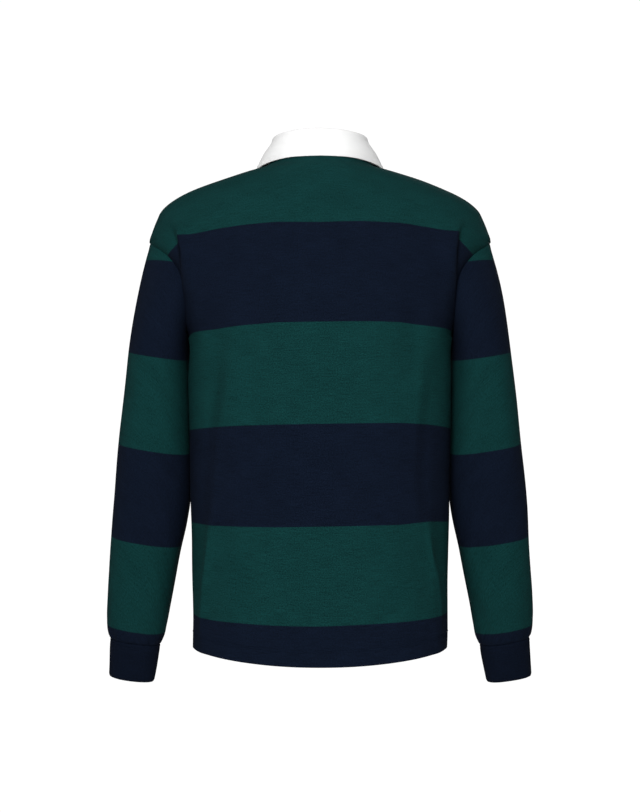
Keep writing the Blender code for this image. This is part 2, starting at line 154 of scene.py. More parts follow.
# How finely the cloth is divided
BACK_STEP = 0.0044
FRONT_STEP = 0.0046
SIDE_STEP = 0.0018
SIDE_BAND = 0.125
SLEEVE_STEP = 0.0036
FINE_STEP = 0.0010
HEM_BAND = 0.026
COLLAR_COLUMNS = 96
COLLAR_STEPS = 44

# Seams and stitching
SEAM_ROLL = 0.0003
SEAM_ALLOWANCE = 0.005
ALLOWANCE_TURN = 0.6
CUFF_SEAM_ROLL = 0.0009
SEAM_ROLL_REACH = 0.0035
CREASE_EDGE = 0.012
HEM_STITCH = 0.0190
HEM_STITCH_PAIR = 0.0032
STITCH_GROOVE = 0.0004
STITCH_LENGTH = 0.0026
STITCH_PITCH = 0.0034
THREAD_RADIUS = 0.00028
COLLAR_STITCH = 0.0055
CUFF_STITCH = 0.0055
COLLAR_EDGE_THINNER = 0.0010
PLACKET_STITCH = 0.0035
HEM_LINES = (HEM_STITCH, HEM_STITCH + HEM_STITCH_PAIR)
HEM_GROOVE_WIDTH = 0.0011
EDGE_GROOVE_WIDTH = 0.0010

# The heights of the edges between stripes: in the middle of the body, and on the sleeves
BODY_STRIPES = (-0.1075, -0.2486, -0.3883, -0.5285, -0.6632)
SLEEVE_STRIPES = (-0.150, -0.282, -0.416, -0.5505, -0.681)
# How much lower each of the body's edges is at some distances from the middle, as the cloth sags
DIP_PLACES = (0.0, 0.06, 0.11, 0.15, 0.18)
STRIPE_DIPS = {
    "left": ((0.0, 0.000, 0.0033, 0.0081, 0.0130), (0.0, 0.0010, 0.0049, 0.0086, 0.0095),
             (0.0, 0.0010, 0.0022, 0.0033, 0.0053), (0.0, 0.0008, 0.0002, -0.0008, -0.0040),
             (0.0, 0.0000, -0.0010, -0.0008, -0.0036)),
    "right": ((0.0, -0.0020, -0.0003, 0.0043, 0.0080), (0.0, -0.0006, -0.0003, 0.0033, 0.0044),
              (0.0, -0.0010, -0.0018, -0.0006, 0.0022), (0.0, -0.0011, -0.0022, -0.0065, -0.0055),
              (0.0, -0.0016, -0.0022, -0.0027, -0.0055)),
}
# How the body's stripes drop past the armhole's fold: what it hides, and the slope beyond
FOLD_HIDES = 0.0080
FOLD_HIDES_REACH = 0.003
DROP_SLOPE = 0.75

# Creases of the body: side, path by distance from the middle and by height, width at its two
# ends, height out
BODY_CREASES = (
    (1, ((0.180, -0.215), (0.110, -0.205), (0.060, -0.170)), 0.016, 0.024, -0.0011),
    (1, ((-0.182, -0.225), (-0.120, -0.220), (-0.050, -0.150)), 0.015, 0.026, -0.0012),
    (1, ((0.170, -0.280), (0.120, -0.330), (0.105, -0.420)), 0.016, 0.022, 0.0010),
    (1, ((-0.165, -0.300), (-0.105, -0.360), (-0.090, -0.470)), 0.018, 0.024, 0.0010),
    (1, ((0.190, -0.560), (0.140, -0.610), (0.060, -0.640)), 0.014, 0.026, -0.0008),
    (1, ((-0.192, -0.530), (-0.150, -0.590), (-0.080, -0.640)), 0.014, 0.024, -0.0009),
    (-1, ((0.205, -0.225), (0.140, -0.250), (0.070, -0.220)), 0.014, 0.024, -0.0018),
    (-1, ((-0.205, -0.230), (-0.150, -0.265), (-0.085, -0.245)), 0.013, 0.022, -0.0018),
    (-1, ((0.190, -0.300), (0.150, -0.380), (0.160, -0.500)), 0.014, 0.018, 0.0014),
    (-1, ((-0.195, -0.290), (-0.160, -0.400), (-0.150, -0.480)), 0.015, 0.018, 0.0014),
    (-1, ((0.060, -0.330), (0.040, -0.430), (0.070, -0.560)), 0.020, 0.026, -0.0010),
    (-1, ((-0.080, -0.420), (-0.060, -0.520), (-0.090, -0.640)), 0.020, 0.024, -0.0010),
)

# Folds beside the back, where it turns to the sides: the crest by distance from the middle and
# by height, how far it stands out, how wide it is on its inner and outer side, and how far the
# cloth falls away before it and beyond it
SIDE_FOLDS = (
    (((0.1500, -0.500), (0.1575, -0.560), (0.1625, -0.600), (0.1660, -0.650), (0.1690, -0.710)),
     0.0048, 0.0045, 0.0030, 0.0030, 0.0075),
    (((-0.1440, -0.500), (-0.1555, -0.560), (-0.1650, -0.600), (-0.1690, -0.640), (-0.1700, -0.710)),
     0.0046, 0.0045, 0.0030, 0.0030, 0.0075),
    (((0.1200, -0.250), (0.1260, -0.330), (0.1380, -0.400), (0.1440, -0.470), (0.1480, -0.580)),
     0.0040, 0.0200, 0.0110, 0.0010, 0.0085),
    (((-0.1340, -0.250), (-0.1360, -0.330), (-0.1300, -0.400), (-0.1270, -0.470), (-0.1400, -0.580)),
     0.0040, 0.0200, 0.0110, 0.0010, 0.0085),
)
FALL_BEFORE = 0.050
FALL_BEYOND = 0.020
SIDE_FOLD_EDGE = 0.040

# Creases of the sleeves: path by angle round the sleeve and by height, widths, height out
SLEEVE_CREASES = {
    "left": (
        (((95.0, -0.330), (70.0, -0.400), (60.0, -0.480)), 0.014, 0.018, -0.0014),
        (((165.0, -0.420), (120.0, -0.455), (85.0, -0.460)), 0.010, 0.016, -0.0016),
        (((160.0, -0.520), (115.0, -0.545), (70.0, -0.520)), 0.011, 0.016, -0.0013),
        (((80.0, -0.560), (100.0, -0.620), (105.0, -0.680)), 0.010, 0.014, -0.0016),
        (((40.0, -0.600), (50.0, -0.650), (45.0, -0.695)), 0.010, 0.012, 0.0010),
        (((285.0, -0.350), (255.0, -0.450), (270.0, -0.560)), 0.014, 0.018, -0.0016),
        (((215.0, -0.440), (250.0, -0.470), (290.0, -0.450)), 0.011, 0.016, -0.0018),
        (((210.0, -0.610), (250.0, -0.640), (290.0, -0.650)), 0.010, 0.014, -0.0014),
    ),
    "right": (
        (((100.0, -0.320), (80.0, -0.390), (70.0, -0.450)), 0.015, 0.018, -0.0013),
        (((165.0, -0.440), (125.0, -0.480), (80.0, -0.470)), 0.011, 0.016, -0.0015),
        (((135.0, -0.520), (112.0, -0.560), (85.0, -0.640)), 0.011, 0.013, -0.0024),
        (((110.0, -0.540), (85.0, -0.590), (60.0, -0.660)), 0.010, 0.014, 0.0014),
        (((150.0, -0.620), (130.0, -0.660), (120.0, -0.695)), 0.009, 0.011, -0.0012),
        (((280.0, -0.340), (260.0, -0.430), (280.0, -0.540)), 0.014, 0.018, -0.0016),
        (((205.0, -0.460), (245.0, -0.500), (285.0, -0.480)), 0.011, 0.016, -0.0018),
        (((215.0, -0.600), (255.0, -0.620), (300.0, -0.650)), 0.010, 0.014, -0.0014),
    ),
}
SLEEVE_RADIUS = 0.050

# Linear colours
GREEN = (0.0030, 0.0266, 0.0262)
NAVY = (0.0029, 0.0057, 0.0135)
# The cuffs' navy is darker than the sleeves' navy: painted shade for the lesser light at the sleeves'
# ends.
SHADED_CUFF_NAVY = (0.0023, 0.0044, 0.0105)
WHITE = (0.74, 0.74, 0.738)
BUTTON = (0.72, 0.71, 0.67)
NAVY_THREAD = (0.003, 0.006, 0.014)
WHITE_THREAD = (0.80, 0.80, 0.79)
FLOOR = (0.62, 0.62, 0.62)

# The knit's loop, and the twill's diagonal, across and along the cloth
KNIT_LOOP = (0.00135, 0.00105)
TWILL_RIB = (0.0009, 0.0011)
# The jersey's unevenness: how fine across and along the cloth, and how strong
JERSEY_NOISES = ((560.0, 640.0, 1.9), (45.0, 950.0, 1.0), (22.0, 30.0, 0.35))

# The cut of each piece, laid flat: width, length and area
BACK_CUT = (0.57, 0.74, 0.398)
FRONT_CUT = (0.56, 0.72, 0.37)

# The photograph's view: 640 by 812 pixels, the focal length and the horizon's drop in pixels
FRAME_HEIGHT_PX = 812
FOCAL_PX = 1470
HORIZON_DROP_PX = 84
TILT_TRIM = -0.0017
CAMERA_Y = 2.14
CAMERA_Z = -0.475
FLOOR_Z = -1.45
FLOOR_RADIUS = 2.2

# The lights: place, size and power, all aimed at one point
LIGHTS = {
    "key": ((0.3, 3.1, 0.4), 1.3, 134.0),
    "fill left": ((2.7, -1.2, 0.5), 2.0, 18.0),
    "fill right": ((-2.7, -1.2, 0.5), 2.0, 14.0),
    "front fill": ((-0.6, -3.2, 1.2), 2.6, 60.0),
    "top": ((0.0, 0.4, 2.6), 1.8, 18.0),
}
LIGHTS_TARGET = (0.0, 0.0, -0.35)
SKY_LIGHT = 0.08
SKY_SEEN = 1.05


def curve(table, key, along):
    """The smooth curve through one column of a table, as a function of another column."""
    xs = np.array(table[along], float)
    ys = np.array(table[key], float)
    step = np.diff(xs)
    slope = np.diff(ys) / step
    tangent = np.concatenate(([slope[0]], (slope[:-1] * step[1:] + slope[1:] * step[:-1])
                              / (step[1:] + step[:-1]), [slope[-1]]))

    def at(x):
        x = np.clip(x, xs[0], xs[-1])
        i = np.clip(np.searchsorted(xs, x) - 1, 0, len(step) - 1)
        u = (x - xs[i]) / step[i]
        return ((1 + 2 * u) * (1 - u) ** 2 * ys[i] + u * (1 - u) ** 2 * step[i] * tangent[i]
                + u * u * (3 - 2 * u) * ys[i + 1] + u * u * (u - 1) * step[i] * tangent[i + 1])

    return at


def curves(table, along):
    """Every column of a table as a smooth curve along one of them."""
    return {key: curve(table, key, along) for key in table if key != along}


body = curves(BODY, "z")
armhole = curves(ARMHOLE, "angle")
sleeve_at = curves(SLEEVE, "z")
cuff_at = curves(CUFF, "z")
collar_at = curves(COLLAR, "angle")
armhole_fold_at = curves(ARMHOLE_FOLD, "z")


def ease(u):
    """0 up to 0, 1 from 1, and smooth between."""
    u = np.clip(u, 0.0, 1.0)
    return u * u * (3.0 - 2.0 * u)


def spread(start, stop, step):
    """Evenly spaced values from start to stop, about one step apart."""
    return np.linspace(start, stop, max(1, round(abs(stop - start) / step)) + 1)


def unit(vectors):
    """Vectors made one long."""
    return vectors / np.maximum(np.linalg.norm(vectors, axis=-1, keepdims=True), 1e-12)


def run(points, axis):
    """Distance along a grid's lines from their first points."""
    steps = np.linalg.norm(np.diff(points, axis=axis), axis=-1)
    total = np.cumsum(steps, axis=axis)
    return np.concatenate((np.zeros_like(total.take([0], axis)), total), axis)


def normals_of(grid, closed, outward):
    """Unit normals of a grid, which point the way that outward says at its middle."""
    down = np.gradient(grid, axis=0)
    if closed:
        across = np.roll(grid, -1, 1) - np.roll(grid, 1, 1)
    else:
        across = np.gradient(grid, axis=1)
    normals = unit(np.cross(across, down))
    n, m = len(grid) // 2, grid.shape[1] // 2
    return normals if normals[n, m] @ np.array(outward) > 0 else -normals


# The body


def depth_at(x, z, side):
    """How far the body's cloth is behind or in front of the middle, at x and z."""
    square = body["square"](z)
    reach = np.clip(np.abs(x) / body["half"](z), 0.0, 1.0)
    depth = body["back"](z) if side > 0 else body["front"](z)
    return depth * (1.0 - reach ** square) ** (1.0 / square)


def neck_dip(z, side):
    """How far a row sinks in the middle, so that the rows follow the neckline."""
    start = -0.150
    share = np.clip((z - start) / (NECK_Z - start), 0.0, 1.0)
    return (BACK_NECK_DIP if side > 0 else FRONT_NECK_DIP) * share ** 1.5


def fold_push(x, z, side):
    """How far the solids' folds push the body's cloth out (or in, below zero) at x and z."""
    push = np.zeros_like(x)
    for fold_side, x_top, z_top, x_low, z_low, width, height in FOLDS:
        if fold_side == side:
            share = (z_top - z) / (z_top - z_low)
            fade = ease(np.minimum(share, 1.0 - share) / FOLD_FADE + 0.5)
            across = (x - x_top - (x_low - x_top) * share) / width
            push += height * fade * np.exp(-across * across)
    return push


def fold_crest(x, z):
    """How far out from the middle the crest of the fold over the armhole is, at x and z."""
    return np.where(x > 0, armhole_fold_at["left"](z), armhole_fold_at["right"](z))


def armhole_fold_push(x, z, t, side):
    """How far the fold over the armhole pushes the body's cloth out at x and z."""
    past = np.abs(x) - fold_crest(x, z)
    beyond = 1.0 - ease(past / ARMHOLE_FOLD_DROP)
    rise = np.where(past < 0, np.exp(-(past / ARMHOLE_FOLD_RISE) ** 2), beyond)
    share = 1.0 if side > 0 else FRONT_FOLD_SHARE
    return share * armhole_fold_at["height"](z) * rise * ease((1.0 - t) / ARMHOLE_FOLD_EDGE)


def panel_points(t, rows, side):
    """Points of the back (side 1) or front (side -1), t from 0 in the middle to 1 at the edge,
    with how far the hem's curve lifts each."""
    middle_z, seam_x, seam_y, seam_z = (rows[:, i:i + 1] for i in range(4))
    end = np.arcsin(np.minimum(1.0, seam_x / body["half"](seam_z)) ** (body["square"](seam_z) / 2.0))
    natural_y = depth_at(seam_x, seam_z, side)
    angle = t * (math.pi / 2 - (math.pi / 2 - end) * t ** 1.5)
    z = middle_z + (seam_z - middle_z) * ease((t - 0.2) / 0.8)
    x = body["half"](z) * np.sin(angle) ** (2.0 / body["square"](z))
    near_hem = np.maximum(0.0, (BODY_HEM_Z + HEM_LIFT_REACH - z) / HEM_LIFT_REACH)
    lift = HEM_LIFT * near_hem ** 2 * (x / body["half"](z)) ** 2
    z = z - neck_dip(z, side) * np.cos(angle) ** 2
    tuck = np.clip((x - seam_x + TUCK_REACH) / TUCK_REACH, 0.0, 1.0) ** TUCK_POWER
    y = depth_at(x, z, side) + (seam_y - natural_y) * tuck
    return np.stack((x, side * y, z + lift), -1), lift


def panel_rows(step):
    """The rows of a panel, hem to neck: height in the middle, and the point at the edge."""
    hem = np.concatenate((spread(BODY_HEM_Z, BODY_HEM_Z + HEM_BAND, FINE_STEP),
                          spread(BODY_HEM_Z + HEM_BAND, UNDERARM_Z, step)[1:-1]))
    rows = [(z, body["half"](z), 0.0, z) for z in hem]
    for share in spread(0.0, 1.0, step / (SHOULDER_POINT_Z - UNDERARM_Z)):
        middle_z = UNDERARM_Z + (SHOULDER_POINT_Z - UNDERARM_Z) * share
        rows.append((middle_z, *(armhole[key](180.0 * (1.0 - share)) for key in "xyz")))
    heights = np.linspace(SHOULDER_POINT_Z, NECK_Z, 400)
    along = np.concatenate(([0.0], np.cumsum(np.hypot(np.diff(heights), np.diff(body["half"](heights))))))
    for z in np.interp(spread(0.0, along[-1], step)[1:], along, heights):
        rows.append((z, body["half"](z), 0.0, z))
    return np.array(rows, float)


def with_allowance(grid, normals, *others):
    """A grid with two more rows before its first, turned in behind the seam there, and its
    normals and other values with the same rows."""
    beyond = unit(grid[0] - grid[2]) - ALLOWANCE_TURN * normals[0]
    shares = np.array([1.0, 0.5])[:, None, None]
    grid = np.concatenate((grid[0] + beyond * SEAM_ALLOWANCE * shares, grid))
    rows = [0, 0, *range(len(normals))]
    return grid, normals[rows], *(other[rows] for other in others)


def groove(distance, width):
    """How deep a row of stitches draws the cloth in, at a distance from it."""
    return STITCH_GROOVE * np.exp(-(distance / width) ** 2)


def crease_push(flat, creases):
    """How far creases push points out, where flat holds the points' places on the cloth."""
    push = np.zeros(flat.shape[:2])
    pieces = 12
    for path, width_start, width_end, height in creases:
        start, bend, stop = (np.array(p, float) for p in path)
        s = np.linspace(0.0, 1.0, pieces + 1)[:, None]
        line = start * (1 - s) ** 2 + bend * 2 * s * (1 - s) + stop * s * s
        nearest = np.full(push.shape, np.inf)
        along = np.zeros(push.shape)
        for i in range(pieces):
            step = line[i + 1] - line[i]
            share = np.clip((flat - line[i]) @ step / (step @ step), 0.0, 1.0)
            distance = np.linalg.norm(flat - line[i] - share[..., None] * step, axis=-1)
            along = np.where(distance < nearest, (i + share) / pieces, along)
            nearest = np.minimum(distance, nearest)
        width = width_start + (width_end - width_start) * along
        fade = ease(np.minimum(along, 1.0 - along) / 0.40)
        push += height * fade * np.exp(-(nearest / width) ** 2)
    return push


def side_fold_push(x, level):
    """How far the folds beside the back push its cloth back at x and a height."""
    push = np.zeros_like(x)
    for path, height, inner, outer, before, beyond in SIDE_FOLDS:
        heights = np.array([-point[1] for point in path])
        crest = np.interp(-level, heights, [abs(point[0]) for point in path])
        past = np.abs(x) - crest
        share = (-level - heights[0]) / (heights[-1] - heights[0])
        fade = ease(share / 0.30) * ease((1.0 - share) / 0.25) * (x * path[0][0] > 0)
        rise = np.exp(-(past / np.where(past < 0, inner, outer)) ** 2)
        fall = before * ease(past / FALL_BEFORE + 1.0) + beyond * ease(past / FALL_BEYOND)
        push += fade * (height * rise - fall)
    return push


def ripple(u, v, phase):
    """Slow, low unevenness of worn cloth."""
    return 0.00035 * (np.sin(u * 31.0 + v * 17.0 + phase) + np.sin(u * 19.0 - v * 43.0 + 2.1 * phase)
                      + 0.6 * np.sin(u * 71.0 + v * 29.0 + 0.7 * phase))


def stripe_number(level, edges):
    """Which stripe a height is in: 1 at the first edge, 2 at the next, and evenly between."""
    edges = np.array(edges)
    step = np.diff(edges).mean()
    edges = np.concatenate(([edges[0] - step], edges, [edges[-1] + step]))
    return np.interp(-level, -edges, np.arange(len(edges)))


def body_stripe(points, lift):
    """Which stripe a point of the body is in."""
    x, z = points[..., 0], points[..., 2]
    past = np.abs(x) - fold_crest(x, z)
    drop = FOLD_HIDES * ease(past / FOLD_HIDES_REACH) + DROP_SLOPE * np.maximum(0.0, past)
    level = z - lift + drop * ease((z + 0.24) / 0.06)
    share = np.clip(stripe_number(level, BODY_STRIPES), 1.0, len(BODY_STRIPES)) - 1.0
    dip = np.zeros_like(level)
    for number in range(len(BODY_STRIPES)):
        near = np.maximum(0.0, 1.0 - np.abs(share - number))
        left = np.interp(np.abs(x), DIP_PLACES, STRIPE_DIPS["left"][number])
        right = np.interp(np.abs(x), DIP_PLACES, STRIPE_DIPS["right"][number])
        dip += near * np.where(x > 0, left, right)
    return stripe_number(level + dip, BODY_STRIPES)


def build_panel(name, side, step):
    """The back or the front, with its turned hem."""
    rows = panel_rows(step)
    dense_t = np.linspace(0.0, 1.0, 500)
    dense, _ = panel_points(dense_t[None, :].repeat(len(rows), 0), rows, side)
    along = run(dense, 1)
    width = along[:, -1].max()
    main = spread(0.0, 1.0 - SIDE_BAND / width, step / width)
    shares = np.concatenate((main, spread(main[-1], 1.0, SIDE_STEP / width)[1:]))
    t = np.array([np.interp(shares * a[-1], a, dense_t) for a in along])
    half, lift = panel_points(t, rows, side)
    inward = unit(half[:, -2] - half[:, -1])
    half[:, -1] += inward * SEAM_GAP / 2
    across = run(half, 1)
    grid = np.concatenate((half[:, :0:-1] * (-1, 1, 1), half), 1)
    u = np.concatenate((-across[:, :0:-1], across), 1)
    lift = np.concatenate((lift[:, :0:-1], lift), 1)
    t = np.concatenate((t[:, :0:-1], t), 1)
    v = run(grid, 0)
    stripe = body_stripe(grid, lift)
    over_armhole = armhole_fold_push(grid[..., 0], grid[..., 2], t, side)
    grid[..., 1] += side * (fold_push(grid[..., 0], grid[..., 2], side) + over_armhole)
    grid[..., 0] += ARMHOLE_FOLD_LEAN * over_armhole * np.sign(grid[..., 0])
    level = grid[..., 2] - lift
    to_edge = across[:, -1:] - np.abs(u)
    if side > 0:
        grid[..., 1] += side_fold_push(grid[..., 0], level) * ease(to_edge / SIDE_FOLD_EDGE)
    normals = normals_of(grid, False, (0, side, 0))
    creases = [crease[1:] for crease in BODY_CREASES if crease[0] == side]
    calm = ease(to_edge / 0.030) * ease((NECK_Z - grid[..., 2]) / 0.05)
    if side < 0:
        below_placket = level < PLACKET_END_Z - 0.03
        calm *= ease((np.abs(grid[..., 0]) - PLACKET_WIDTH / 2) / 0.03 + below_placket)
    push = crease_push(np.stack((u, level), -1), creases) * ease(to_edge / CREASE_EDGE)
    push += ripple(u, level, side) * calm
    push -= SEAM_ROLL * (1.0 - ease(to_edge / SEAM_ROLL_REACH))
    above_hem = run(grid, 0)
    for line in HEM_LINES:
        push -= groove(above_hem - line, HEM_GROOVE_WIDTH)
    grid = grid + normals * push[..., None]
    normals = normals_of(grid, False, (0, side, 0))
    wall = CLOTH + (HEM_WALL - CLOTH) * (above_hem < HEM_TURN)
    cloth = np.stack((u, v, stripe), -1)
    lines = [place_on(grid, normals, above_hem, line + 0 * above_hem[0]) for line in HEM_LINES]
    parts = [part.swapaxes(0, 1) for part in (grid, normals, wall, cloth)]
    if side > 0:
        for _ in ("left", "right"):
            parts = with_allowance(*(part[::-1] for part in parts))
    grid, normals, wall, cloth = (part.swapaxes(0, 1) for part in parts)
    panel = shell(name, grid, normals, wall, False, cloth, round_first=True)
    return panel, lines


def place_on(grid, normals, above, reach):
    """The points of a grid, column by column, at a reach from its first row, and their normals."""
    points = []
    for column in range(grid.shape[1]):
        point = [np.array([np.interp(reach[column], above[:, column], values[:, column, axis])
                           for axis in range(3)]) for values in (grid, normals)]
        points.append(tuple(point))
    return points


# The sleeves and cuffs


def seam_points(angle):
    """The armhole seam of the left sleeve: 0 on the shoulder, 90 behind, 180 under the arm."""
    turn = np.where(angle <= 180.0, angle, 360.0 - angle)
    back = np.where(angle <= 180.0, 1.0, -1.0)
    return np.stack((armhole["x"](turn), back * armhole["y"](turn), armhole["z"](turn)), -1)


def tube_points(section, z, angle):
    """Points of the left sleeve's or cuff's rings at heights z."""
    square = TUBE_SQUARE + SLEEVE_SQUARER * ease((z - SLEEVE_END_Z) / SLEEVE_SQUARER_REACH)
    outer = section["outer"](z)
    inner = section["inner"](z)
    cos = np.cos(np.radians(angle))
    sin = np.sin(np.radians(angle))
    dx = (outer - inner) / 2 * np.sign(cos) * np.abs(cos) ** (2 / square)
    dy = section["deep"](z) * np.sign(sin) * np.abs(sin) ** (2 / square)
    level = z + SLEEVE_LEAN * dx + SLEEVE_FORWARD * dy
    return np.stack(((outer + inner) / 2 + dx, section["mid_y"](z) + dy, level), -1)


def cap_points(angle, s):
    """Points between the armhole seam, s 0, and the first level ring of the sleeve, s 1."""
    top = SLEEVE["z"][-1]
    begin = seam_points(angle)
    end = tube_points(sleeve_at, top + 0 * angle, angle)
    below = tube_points(sleeve_at, top - 0.01 + 0 * angle, angle)
    length = np.linalg.norm(end - begin, axis=-1, keepdims=True)
    turn = np.radians(angle)
    leave = unit(np.stack((0.14 + 0.30 * np.abs(np.sin(turn)) + 0.08 * np.cos(turn),
                           0.35 * np.sin(turn), -np.ones_like(turn)), -1))
    s = s[..., None]
    return ((1 + 2 * s) * (1 - s) ** 2 * begin + s * (1 - s) ** 2 * length * leave
            + s * s * (3 - 2 * s) * end + s * s * (s - 1) * length * unit(below - end))


def clear_of_body(points, clearance):
    """A sleeve's points moved out until they are clear of the body's side."""
    x, y, z = (points[..., i] for i in range(3))
    depth = np.where(y > 0, body["back"](z), body["front"](z))
    square = body["square"](z)
    reach = np.clip(np.abs(y) / depth, 0.0, 1.0)
    wall_x = body["half"](z) * (1.0 - reach ** square) ** (1.0 / square)
    beside = (z <= SIDE_TOP_Z) & (reach < 1.0)
    return np.stack((np.where(beside, np.maximum(x, wall_x + clearance), x), y, z), -1)


def sleeve_stripe(points):
    """Which stripe a point of the left sleeve is in, as body_stripe says it."""
    x, y, z = (points[..., i] for i in range(3))
    ring = np.minimum(z, SLEEVE["z"][-1])
    middle_x = (sleeve_at["outer"](ring) + sleeve_at["inner"](ring)) / 2
    forward = SLEEVE_FORWARD * ease((-0.13 - z) / 0.15)
    level = z - SLEEVE_LEAN * (x - middle_x) - forward * (y - sleeve_at["mid_y"](ring))
    return stripe_number(level, SLEEVE_STRIPES)


def tube_shell(name, side, grid, normals, wall, cloth, round_last=False):
    """The shell of a left sleeve or cuff, or its mirror image on the right."""
    grid, normals, cloth = with_allowance(grid, normals, cloth)
    mirror = (1 if side == "left" else -1, 1, 1)
    return shell(name, grid * mirror, normals * mirror, wall, True, cloth, round_last=round_last)


def build_sleeve(name, side):
    """A sleeve from its armhole seam to its cuff seam."""
    count = round(0.31 / SLEEVE_STEP)
    angles = np.arange(count) * 360.0 / count
    seam_band = np.array([0.0, 0.012, 0.024, 0.036])
    shares = np.concatenate((seam_band, spread(0.036, 1.0, 0.026)[1:]))
    angle, s = np.meshgrid(angles, shares)
    s_start = np.maximum(s, SEAM_GAP / 2 / 0.10)
    cap = clear_of_body(cap_points(angle, s_start), SLEEVE_CLEARANCE * ease(s * 2))
    top = SLEEVE["z"][-1]
    lower = np.concatenate((spread(top, SLEEVE_END_Z + 0.010, SLEEVE_STEP)[1:],
                            spread(SLEEVE_END_Z + 0.010, SLEEVE_END_Z, FINE_STEP)[1:]))
    ring_angle, ring_z = np.meshgrid(angles, lower)
    grid = np.concatenate((cap, tube_points(sleeve_at, ring_z, ring_angle)))
    stripe = sleeve_stripe(grid)
    angle = np.concatenate((angle, ring_angle))
    z = grid[..., 2].mean(1, keepdims=True) + 0 * angle
    z[:len(cap)] = grid[:len(cap), :, 2]
    normals = normals_of(grid, True, TOWARDS_BODY)
    push = np.zeros(angle.shape)
    for crease in SLEEVE_CREASES[side]:
        centre = np.mean([p[0] for p in crease[0]])
        turned = (angle - centre + 180.0) % 360.0 - 180.0 + centre
        flat = np.stack((np.radians(turned) * SLEEVE_RADIUS, z), -1)
        path = tuple((math.radians(a) * SLEEVE_RADIUS, height) for a, height in crease[0])
        push += crease_push(flat, ((path, *crease[1:]),))
    u = run(np.concatenate((grid, grid[:, :1]), 1), 1)[:, :-1]
    v = run(grid, 0)
    to_cuff = v[-1:] - v
    beside_body = ease((np.abs(angle - 180.0) - 35.0) / 30.0)
    calm = np.maximum(beside_body, ease((-0.50 - z) / 0.06)) * ease(v / 0.03)
    push *= calm
    push += ripple(np.radians(angle) * SLEEVE_RADIUS, z, 1.0 if side == "left" else 2.6) * calm
    gather = np.exp(-to_cuff / 0.016) * (1.0 - np.exp(-to_cuff / 0.003))
    push += 0.0007 * gather * (np.sin(np.radians(angle) * 13 + 1.0) + 0.6 * np.sin(np.radians(angle) * 22))
    push -= SEAM_ROLL * (1.0 - ease(v / SEAM_ROLL_REACH)) * beside_body
    push -= CUFF_SEAM_ROLL * (1.0 - ease(to_cuff / SEAM_ROLL_REACH))
    grid = grid + normals * push[..., None]
    normals = normals_of(grid, True, TOWARDS_BODY)
    cloth = np.stack((u, -v, stripe), -1)
    return tube_shell(name, side, grid, normals, CLOTH, cloth)


def build_cuff(name, side):
    """A doubled cuff, folded at its lower edge."""
    count = 84
    angles = np.arange(count) * 360.0 / count
    rings = np.concatenate((spread(SLEEVE_END_Z - SEAM_GAP, -0.712, FINE_STEP),
                            spread(-0.712, CUFF_END_Z + 0.004, 0.0028)[1:],
                            spread(CUFF_END_Z + 0.004, CUFF_END_Z, FINE_STEP)[1:]))
    angle, z = np.meshgrid(angles, rings)
    grid = tube_points(cuff_at, z, angle)
    normals = normals_of(grid, True, TOWARDS_BODY)
    v = run(grid, 0)
    to_edge = v[-1:] - v
    wobble = 0.0005 * np.sin(np.radians(angle) * 3 + z * 60.0 + (0.0 if side == "left" else 1.7))
    push = wobble * ease(v / 0.02)
    push -= CUFF_SEAM_ROLL * (1.0 - ease(v / SEAM_ROLL_REACH))
    push -= groove(v - CUFF_STITCH, HEM_GROOVE_WIDTH)
    push -= 0.0008 * (1.0 - ease(to_edge / 0.0030))
    grid = grid + normals * push[..., None]
    normals = normals_of(grid, True, TOWARDS_BODY)
    u = run(np.concatenate((grid, grid[:, :1]), 1), 1)[:, :-1]
    cloth = np.stack((u, -v, 1.5 + 0 * v), -1)
    return tube_shell(name, side, grid, normals, CUFF_WALL, cloth, round_last=True)


# The collar and placket


def neck_point(angle):
    """The neck seam at an angle from the middle of the back round to the middle of the front."""
    side = 1 if angle <= 90.0 else -1
    t = angle / 90.0 if side > 0 else (180.0 - angle) / 90.0
    rows = np.array([[NECK_Z, body["half"](NECK_Z), 0.0, NECK_Z]])
    return panel_points(np.array([[t]]), rows, side)[0][0, 0]


def collar_profile(angle):
    """The collar's section at an angle: up the stand, over the roll and down the leaf."""
    base = neck_point(angle)
    turn = math.radians(angle)
    outward = np.array((math.sin(turn), math.cos(turn), 0.0))
    up = np.array((0.0, 0.0, 1.0))
    roll = base - outward * collar_at["inward"](angle) + up * collar_at["rise"](angle)
    edge = np.array([collar_at[key](angle) for key in ("edge_x", "edge_y", "edge_z")])
    stand = base + up * (SEAM_GAP + COLLAR_WALL / 2)
    inside = roll - up * ROLL_RADIUS
    outside = inside + outward * 2 * ROLL_RADIUS
    middle = (outside + edge) / 2 + outward * LEAF_BULGE
    knots = np.array([stand, (stand + inside) / 2, inside, roll + outward * ROLL_RADIUS * 0.25,
                      roll + outward * ROLL_RADIUS * 1.75, outside, middle, edge])
    along = np.concatenate(([0.0], np.cumsum(np.linalg.norm(np.diff(knots, axis=0), axis=1))))
    table = {"along": along, "x": knots[:, 0], "y": knots[:, 1], "z": knots[:, 2]}
    at = np.linspace(0.0, along[-1], COLLAR_STEPS + 1)
    return np.stack([curve(table, key, "along")(at) for key in "xyz"], -1)


